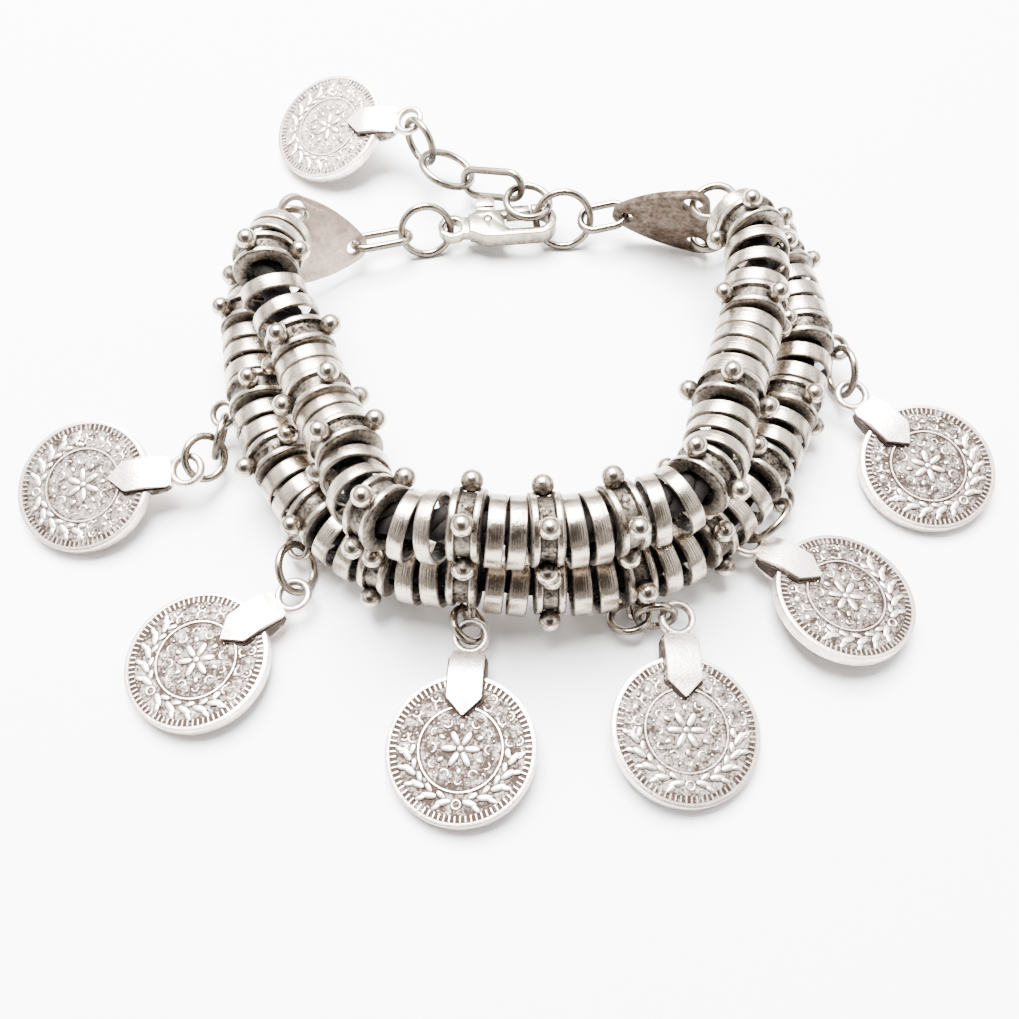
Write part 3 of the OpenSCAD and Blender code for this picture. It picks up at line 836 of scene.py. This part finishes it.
# %% One tick
TICK_AT = 7.16
deselect_everything()
bpy.ops.mesh.primitive_cube_add(size=1)
tick = named("tick")
bpy.ops.object.mode_set(mode="EDIT")
bpy.ops.transform.resize(value=(0.72, 0.26, 0.3), center_override=(0, 0, 0))
pick(tick, lambda at, normal: normal.z > 0.9)
bpy.ops.transform.resize(value=(0.9, 0.45, 1), center_override=(0, 0, 0.15))
bpy.ops.object.mode_set(mode="OBJECT")
tick.data.transform(Matrix.Translation((TICK_AT, 0, FIELD - 0.02)))
paint_relief(tick, 0.05, 0.9)
print("tick:", len(tick.data.polygons), "faces")

# %% One leaf
deselect_everything()
bpy.ops.mesh.primitive_uv_sphere_add(segments=12, ring_count=10, radius=1)
leaf = named("leaf")
bpy.ops.object.mode_set(mode="EDIT")
bpy.ops.transform.rotate(value=math.pi / 2, orient_axis="Y", center_override=(0, 0, 0))
bpy.ops.transform.resize(value=(1.0, 0.46, 0.2), center_override=(0, 0, 0))
pick(leaf, lambda at: abs(at.x) > 0.7, "VERT")
bpy.ops.transform.resize(value=(1.08, 0.6, 0.8), center_override=(0, 0, 0))
bpy.ops.object.mode_set(mode="OBJECT")
smooth(leaf, 80)
leaf.data.transform(Matrix.Translation((0, 0, FIELD - 0.03)))
paint_relief(leaf, 0.09)
print("leaf:", len(leaf.data.polygons), "faces")

# %% One star
deselect_everything()
bpy.ops.mesh.primitive_cone_add(vertices=10, radius1=0.8, radius2=0, depth=0.4)
star = named("star")
bpy.ops.object.mode_set(mode="EDIT")


def between_points(at):
    return at.z < 0 and round(math.degrees(math.atan2(at.y, at.x)) / 36) % 2 == 1


pick(star, between_points, "VERT")
bpy.ops.transform.resize(value=(0.45, 0.45, 1), center_override=(0, 0, -0.2))
bpy.ops.object.mode_set(mode="OBJECT")
star.data.transform(Matrix.Translation((0, 0, FIELD + 0.02)))
paint_relief(star, 0, 0.7)
print("star:", len(star.data.polygons), "faces")

# %% One scroll and one pearl
deselect_everything()
bpy.ops.mesh.primitive_torus_add(
    major_radius=0.45, minor_radius=0.15, major_segments=20, minor_segments=8)
scroll = named("scroll")
bpy.ops.object.mode_set(mode="EDIT")
bpy.ops.mesh.bisect(plane_co=(0, 0.001, 0), plane_no=(0, 1, 0), clear_inner=True, use_fill=True)
bpy.ops.object.mode_set(mode="OBJECT")
smooth(scroll, 60)
scroll.data.transform(Matrix.Translation((0, 0, FIELD)))
paint_relief(scroll, 0.06)

deselect_everything()
bpy.ops.mesh.primitive_uv_sphere_add(segments=10, ring_count=8, radius=0.26)
pearl = named("pearl")
bpy.ops.object.mode_set(mode="EDIT")
bpy.ops.transform.resize(value=(1, 1, 0.65), center_override=(0, 0, 0))
bpy.ops.object.mode_set(mode="OBJECT")
smooth(pearl, 80)
pearl.data.transform(Matrix.Translation((0, 0, FIELD)))
paint_relief(pearl, 0.08)
print("scroll:", len(scroll.data.polygons), "faces, pearl:", len(pearl.data.polygons))

# %% Setting the design out
WREATH_RADIUS = 5.7
TICKS = 80
design = []


def set_out(model, turn, radius, lean=0.0, stretch=1.0, width=1.0):
    spot = rotation(z=turn) @ Matrix.Translation((radius, 0, 0)) @ rotation(z=lean)
    design.append(copy_of(model, spot @ Matrix.Diagonal((stretch, width, 1, 1))))


for number in range(TICKS):
    set_out(tick, 360 * number / TICKS, 0)
for side in (-1, 1):
    for k in range(5):
        turn = 180 + side * (14 + 17 * k)
        set_out(leaf, turn, WREATH_RADIUS, side * 62)
        set_out(leaf, turn + side * 5, WREATH_RADIUS + 0.68, side * 32, 0.7, 0.8)
        set_out(leaf, turn + side * 5, WREATH_RADIUS - 0.62, side * 108, 0.7, 0.8)
    for turn in (42, 66):
        set_out(star, side * turn, WREATH_RADIUS)
    for turn in (30, 54, 80, 92):
        set_out(scroll, side * turn, WREATH_RADIUS + 0.45, side * 90 - 30)
        set_out(scroll, side * turn, WREATH_RADIUS - 0.45, side * -90 + 30)
        set_out(pearl, side * turn, WREATH_RADIUS + 0.5, 0, 0.7, 0.7)
    for turn in (36, 48, 60, 73):
        set_out(pearl, side * turn, WREATH_RADIUS + 0.85, 0, 0.8, 0.8)
        set_out(pearl, side * turn, WREATH_RADIUS - 0.75, 0, 0.8, 0.8)
set_out(scroll, 180, WREATH_RADIUS, 0)
set_out(scroll, 180, WREATH_RADIUS, 180)
for k in range(6):
    set_out(leaf, 60 * k + 30, 1.25)
    set_out(leaf, 60 * k, 2.35, 0, 0.45, 0.7)
    set_out(scroll, 60 * k + 30, 3.05, 90)
    set_out(scroll, 60 * k, 3.3, -90, 0.8, 0.8)
    set_out(pearl, 60 * k + 15, 3.6, 0, 0.7, 0.7)
    set_out(pearl, 60 * k - 15, 3.6, 0, 0.7, 0.7)
set_out(pearl, 0, 0, 0, 1.6, 1.6)
for model in (tick, leaf, star, scroll, pearl):
    remove(model)
print("the design has", len(design), "parts")

# %% [markdown]
# ## The bail
# The coin hangs on a strap of flat silver, folded over its edge and cut to a point, with a wire
# eyelet at the fold. A cube makes the strap: one end is drawn out to the point, the other is
# drawn in to the neck, and the top is inset so that polishing can brighten its middle.

# %% The strap
STRAP = {"point": 3.4, "half": 1.9, "thick": 1.5, "bend": 8.3, "neck": 10.63, "collar": 0.7,
         "eye": 12.4, "eye_radius": 1.72}
deselect_everything()
bpy.ops.mesh.primitive_cube_add(size=1)
strap = named("strap")
bpy.ops.object.mode_set(mode="EDIT")
shoulder = STRAP["point"] + STRAP["half"]
strap_size = (STRAP["bend"] - shoulder, 2 * STRAP["half"], 2 * STRAP["thick"])
bpy.ops.transform.resize(value=strap_size, center_override=(0, 0, 0))
bpy.ops.transform.translate(value=((STRAP["bend"] + shoulder) / 2, 0, 0))
pick(strap, lambda at, normal: normal.x < -0.9)
bpy.ops.mesh.extrude_region_move(TRANSFORM_OT_translate={"value": (-STRAP["half"] + 0.05, 0, 0)})
bpy.ops.transform.resize(value=(1, 0.05, 1), center_override=(0, 0, 0))
pick(strap, lambda at, normal: normal.x > 0.9)
fold = STRAP["neck"] - STRAP["collar"] - STRAP["bend"]
bpy.ops.mesh.extrude_region_move(TRANSFORM_OT_translate={"value": (fold, 0, 0)})
bpy.ops.transform.resize(value=(1, 1, 0.58), center_override=(0, 0, 0))
bpy.ops.mesh.extrude_region_move(TRANSFORM_OT_translate={"value": (STRAP["collar"], 0, 0)})
bpy.ops.transform.resize(value=(1, 0.84, 0.69), center_override=(0, 0, 0))
for up in (1, -1):
    pick(strap, lambda at, normal: up * normal.z > 0.3)
    bpy.ops.mesh.inset(thickness=0.12, depth=0)


def on_strap_side(at):
    return abs(abs(at.z) - STRAP["thick"]) < 0.3 and abs(at.y) > 1.7


pick(strap, on_strap_side, "EDGE")
bpy.ops.mesh.bevel(offset=0.1, segments=2)
bpy.ops.object.mode_set(mode="OBJECT")
smooth(strap, 25)
print("strap:", len(strap.data.polygons), "faces")

# %% Its eyelet, its painted shadow and the whole coin
STRAP_EDGE_BLACK = 0.25


def strap_tarnish(at):
    on_face = abs(at.y) < STRAP["half"] - 0.1 and at.x > STRAP["point"] + 0.2
    return 0 if on_face else STRAP_EDGE_BLACK


paint_tarnish_and_shade(strap, strap_tarnish)
eye = wire_ring("bail eye", STRAP["eye_radius"])
eye.data.transform(Matrix.Translation((STRAP["eye"], 0, 0)))
# A painted shadow in the corner between the strap and the coin: a low dark copy of the strap, a
# little wider all round
foot = copy_of(strap, Matrix.Translation((-0.25, 0, 0)) @ Matrix.Diagonal((1, 1.13, 0.58, 1)))
paint_tarnish_and_shade(foot, lambda at: 1)
coin_model = join([disc, strap, foot, eye] + design, "coin model")
coin_model.data.materials.clear()
coin_model.data.materials.append(coin_silver)
print("coin model:", len(coin_model.data.polygons), "faces")

# %% [markdown]
# ## The seven coins
# A row gives a coin's middle, the way its bail points, the bail's rise, the coin's roll and the
# painted shade added to its tarnish: more for coins that lie in shade, and below nought for a coin
# painted lighter. The coins lie on the table, each leaning on its own jump ring, so no two lean the
# same way.

# %% Laying the coins
coins = [
    ((-50, 1.38, 3.11), 5.9, 7.8, 12.3, 0.04),
    ((-34.1, -19.9, 1.8), 37.3, 3.9, -3.6, 0.12),
    ((-5.06, -29.75, 1.98), 86.4, 3.7, -5.2, 0.16),
    ((18.54, -27.81, 2.21), 90.2, 4.9, 6.7, 0.05),
    ((37.46, -12.72, 2.58), 145.8, 2.6, 10.1, 0.1),
    ((49.99, 4.4, 2.25), 129.8, 6.8, -5, 0.12),
    ((-25.62, 59.31, 4.21), -11.1, 16.5, 17, -0.1),
]
for number, (middle, heading, rise, roll, black) in enumerate(coins, 1):
    lie = Matrix.Translation(Vector(middle)) @ rotation(roll, -rise, heading)
    coin = copy_of(coin_model, to_metres @ lie)
    # Painted shade: the row's last number is added to the tarnish all over the coin, and a number
    # below nought paints it lighter
    for value in coin.data.attributes["tarnish_and_shade"].data:
        value.value = max(0, value.value + black)
    coin.name = f"struck_coin_{number}"
    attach(coin, "bracelet")
    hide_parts(f"coin_{number}")
remove(coin_model)
print(len(coins), "coins laid")

# %% [markdown]
# ## The jump rings and chain links
# Round links are plain rings of wire. An oval link starts as the same ring, and its two halves
# are pulled apart, so the straight sides open between them.

# %% Finishing a link
CHAIN_WIRE_RADIUS = 0.5


def wire_for(node):
    return WIRE_RADIUS if node.startswith("coin") else CHAIN_WIRE_RADIUS


def finish_link(link, node, place):
    link.data.transform(to_metres @ place)
    # Painted shade: each link is painted darker where its wire faces sideways or down
    paint_shade_by_facing(link)
    link.name = "wire_" + node
    link.data.materials.clear()
    link.data.materials.append(wire_silver)
    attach(link, "bracelet")
    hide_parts(node)


print("the chain's wire is", 2 * CHAIN_WIRE_RADIUS, "mm and the rest", 2 * WIRE_RADIUS, "mm")

# %% Round links
# A link's middle, the way its hole faces and its radius
round_links = [
    ("coin_link_1", (-34.75, 7.85, 3.81), (-0.955, 0.124, 0.271), 2.55),
    ("coin_link_1b", (-36, 4.5, 4.5), (-0.689, 0.422, -0.59), 2.55),
    ("coin_link_2", (-24.2, -9.12, 2.84), (-0.829, 0.126, -0.545), 2.75),
    ("coin_link_3", (-4.48, -15.8, 2.57), (0.595, 0.113, 0.796), 2.07),
    ("coin_link_4", (13.34, -14.8, 2.12), (-0.172, 0.341, 0.924), 2.1),
    ("coin_link_4b", (16.17, -15.06, 3.11), (0.024, -0.988, 0.154), 2.07),
    ("coin_link_5", (29.79, -3.2, 3.2), (-0.697, 0.51, 0.504), 3.09),
    ("coin_link_6", (41.32, 17.32, 3.83), (-0.965, -0.201, 0.168), 2.95),
    ("plate_ring_1", (-28.01, 34.47, 12.43), (-0.076, 0.346, 0.935), 2.59),
    ("plate_ring_2", (-31.64, 30.57, 5.45), (-0.154, 0.321, 0.935), 2.16),
    ("plate_ring_3", (25.97, 38.23, 11.48), (-0.314, -0.006, 0.949), 2.6),
    ("plate_ring_4", (27.16, 40.09, 3.35), (-0.378, -0.025, 0.926), 2.35),
    ("left_round_link", (-11.27, 40.71, 3.6), (0.194, -0.895, 0.402), 3.35),
    ("right_round_link", (7.29, 42.55, 3.79), (-0.003, -0.864, 0.503), 3.68),
    ("extension_link_1", (2.48, 44.34, 5.22), (-0.074, -0.01, -0.997), 2.93),
    ("extension_link_3", (-8.65, 50.9, 4.7), (0.356, 0.166, 0.919), 3.62),
    ("extension_link_4", (-12.4, 54.45, 6.4), (-0.784, -0.616, 0.07), 3),
]
for node, middle, facing, radius in round_links:
    place = stood(Vector(middle), Vector(facing), Vector((1, 0.2, 0.1)))
    finish_link(wire_ring(node + " wire", radius, wire_for(node)), node, place)
print(len(round_links), "round links")

# %% Oval links
# A link's middle, the way it points, the way its hole faces, its end radius and straight sides
oval_links = [
    ("left_oval_link",
     (-17.19, 39.18, 3.54), (0.944, 0.317, -0.089), (0.041, -0.382, -0.923), 1.92, 3.9),
    ("right_oval_link",
     (12.69, 42.51, 4.31), (0.974, 0.077, 0.214), (-0.206, -0.099, 0.974), 1.88, 2.45),
    ("extension_link_2",
     (-2.35, 48.19, 4.63), (-0.86, 0.409, -0.306), (0.493, 0.822, -0.287), 1.85, 5.6),
]
for node, middle, points_to, facing, radius, straight in oval_links:
    link = wire_ring(node + " wire", radius, wire_for(node))
    bpy.ops.object.mode_set(mode="EDIT")
    bpy.ops.mesh.select_all(action="SELECT")
    # Turned by half a segment, so that no points lie on the line where the halves part
    bpy.ops.transform.rotate(value=math.radians(4.5), orient_axis="Z", center_override=(0, 0, 0))
    for end in (-1, 1):
        pick(link, lambda at: end * at.x > 0, "VERT")
        bpy.ops.transform.translate(value=(end * straight / 2, 0, 0))
    bpy.ops.object.mode_set(mode="OBJECT")
    finish_link(link, node, stood(Vector(middle), Vector(facing), Vector(points_to)))
print(len(oval_links), "oval links")

# %% [markdown]
# ## The hammered plates
# The two gathering plates are cut from sheet and hammered. A copy of each exact solid is merged and
# its sharp edges are rounded, and the finish adds the hammer's cloudy dents. The plate on the right
# stands in shade, so it is painted much darker than the other: painted shade.

# %% Hammered finish
hammered = metal("Hammered metal", (0.36, 0.285, 0.235), oxide=(0.035, 0.022, 0.013),
                 patchiness=0.6, polish=0.36, bump=0.4, patches=420.0, grain=1500.0)
print("hammered finish ready")


# %% Softening a copy of an exact solid
def softened(node, body, edge, material, rule):
    twin = copy_of(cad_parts[node], Matrix.Scale(1 / MILLIMETRE, 4))
    twin.name = "soft_" + node
    # The copy drops what the frame wrote on the solid, and its parent
    for key in list(twin.keys()):
        del twin[key]
    twin.parent = None
    twin.matrix_world = Matrix.Identity(4)
    only(twin)
    bpy.ops.object.mode_set(mode="EDIT")
    bpy.ops.mesh.select_all(action="SELECT")
    bpy.ops.mesh.remove_doubles(threshold=0.001)
    bpy.ops.mesh.dissolve_limited(angle_limit=math.radians(1))
    bpy.ops.object.mode_set(mode="OBJECT")
    rounding = twin.modifiers.new("rounding", "BEVEL")
    rounding.width = edge
    rounding.segments = 2
    rounding.limit_method = "ANGLE"
    rounding.angle_limit = math.radians(40)
    bpy.ops.object.modifier_apply(modifier="rounding")
    paint_tarnish_and_shade(twin, rule)
    smooth(twin, 35)
    twin.data.transform(Matrix.Scale(MILLIMETRE, 4))
    twin.data.materials.clear()
    twin.data.materials.append(material)
    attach(twin, body)
    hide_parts(node)
    print(twin.name, "has", len(twin.data.polygons), "faces")


# %% Both plates
PLATE_EDGE = 0.18
LEFT_PLATE_BLACK = 0.25
RIGHT_PLATE_SHADE = 0.86
softened("left_plate", "bracelet", PLATE_EDGE, hammered,
         lambda at: LEFT_PLATE_BLACK)
# Painted shade: the right plate is painted darker than the left
softened("right_plate", "bracelet", PLATE_EDGE, hammered,
         lambda at: RIGHT_PLATE_SHADE)

# %% [markdown]
# ## The clasp and the caps
# The cast clasp was tumbled, which rounds its edges. It is painted darker towards the table:
# painted shade on its lower side, over a little tarnish. The caps that hold the cord ends are
# softened in the same way.

# %% Clasp and caps
CLASP_HEIGHT = 3.2
CLASP_DEPTH = 1.6
CLASP_TOP_BLACK = 0.12
CLASP_SHADE_BELOW = 0.6
CAST_EDGE = 0.22
THIN_EDGE = 0.12
CAP_BLACK = 0.2


# Painted shade: below the clasp's top the points are painted darker the lower they lie, over a
# little tarnish all over
def clasp_tarnish_and_shade(at):
    below_top = (CLASP_HEIGHT + CLASP_DEPTH / 2 - at.z) / CLASP_DEPTH
    return CLASP_TOP_BLACK + CLASP_SHADE_BELOW * min(1, max(0, below_top))


softened("clasp_body", "bracelet", CAST_EDGE, clasp_silver, clasp_tarnish_and_shade)
softened("clasp_lever", "lever", THIN_EDGE, clasp_silver, clasp_tarnish_and_shade)
for number in range(1, 5):
    softened(f"cord_cap_{number}", "bracelet", THIN_EDGE, clasp_silver,
             lambda at: CAP_BLACK)

# %% [markdown]
# ## The table, the light and the camera
# The bracelet lies on white paper and is seen from above its front. One large soft light hangs
# over its back, the rest comes from the white tent round it, and the camera looks down by 62
# degrees.

# %% The floor
deselect_everything()
bpy.ops.mesh.primitive_plane_add(size=8)
floor = named("floor")
paper = bpy.data.materials.new("White paper")
paper.use_nodes = True
paper_shader = paper.node_tree.nodes["Principled BSDF"]
paper_shader.inputs["Base Color"].default_value = (0.93, 0.93, 0.93, 1)
paper_shader.inputs["Roughness"].default_value = 0.9
floor.data.materials.append(paper)
print("floor ready")


# %% The lights
def soft_light(name, place, size, power):
    deselect_everything()
    bpy.ops.object.light_add(type="AREA", location=place)
    lamp = bpy.context.object
    lamp.name = name
    lamp.data.size = size
    lamp.data.energy = power
    aim = Vector((0, 0, 0)) - Vector(place)
    lamp.rotation_euler = aim.to_track_quat("-Z", "Y").to_euler()


KEY_PLACE = (-0.06, 0.2, 0.5)
KEY_SIZE = 0.36
KEY_POWER = 36.0
soft_light("key light", KEY_PLACE, KEY_SIZE, KEY_POWER)
print("one soft light over the back")

# %% [markdown]
# ## A white tent with a dark opening
# Polished silver shows what stands round it. In a white tent the only dark thing is the opening
# that the lens looks through, so every ring gets a white top, a dark band across its front and a
# bright foot from the table. The sky is a white dome with a soft dark patch on that side, and it
# is darker near the table's edge.

# %% The sky
OPENING_WAY = Vector((0, -0.47, 0.88)).normalized()
OPENING_STARTS, OPENING_DARKEST = 0.55, 0.81
WALL_DARKEST, WALL_ENDS = 0.2, 0.62
TENT_STRENGTH = 5.4
sky = bpy.data.worlds.new("studio")
sky.use_nodes = True
tree = sky.node_tree
towards = add_node(
    tree, "ShaderNodeVectorMath",
    {0: add_node(tree, "ShaderNodeTexCoord").outputs["Generated"], 1: OPENING_WAY},
    operation="DOT_PRODUCT").outputs["Value"]
dome = add_node(tree, "ShaderNodeValToRGB", {"Fac": towards})
dome.color_ramp.elements[0].position = OPENING_STARTS
dome.color_ramp.elements[0].color = (1, 1, 1, 1)
dome.color_ramp.elements[1].position = OPENING_DARKEST
dome.color_ramp.elements[1].color = (0.022, 0.018, 0.015, 1)
upwards = add_node(
    tree, "ShaderNodeSeparateXYZ",
    {"Vector": add_node(tree, "ShaderNodeTexCoord").outputs["Generated"]}).outputs["Z"]
wall = add_node(tree, "ShaderNodeValToRGB", {"Fac": upwards})
wall.color_ramp.elements[0].position = WALL_DARKEST
wall.color_ramp.elements[0].color = (0.08, 0.07, 0.06, 1)
wall.color_ramp.elements[1].position = WALL_ENDS
tent = add_node(tree, "ShaderNodeMix", data_type="RGBA", blend_type="MULTIPLY")
tent.inputs[0].default_value = 1.0
tree.links.new(dome.outputs["Color"], tent.inputs[6])
tree.links.new(wall.outputs["Color"], tent.inputs[7])
tree.links.new(tent.outputs[2], tree.nodes["Background"].inputs["Color"])
tree.nodes["Background"].inputs["Strength"].default_value = TENT_STRENGTH
bpy.context.scene.world = sky
print("white tent, dark opening")

# %% The camera
deselect_everything()
CAMERA_PLACE = (0.00002, -0.07395, 0.11112)
CAMERA_TILT = 28
LENS = 37.1
bpy.ops.object.camera_add(location=CAMERA_PLACE, rotation=(math.radians(CAMERA_TILT), 0, 0))
camera = bpy.context.object
camera.data.lens = LENS
camera.data.sensor_width = 36
camera.data.clip_start = 0.005
bpy.context.scene.camera = camera
print("camera is", round(camera.location.length * 1000), "mm from the middle")
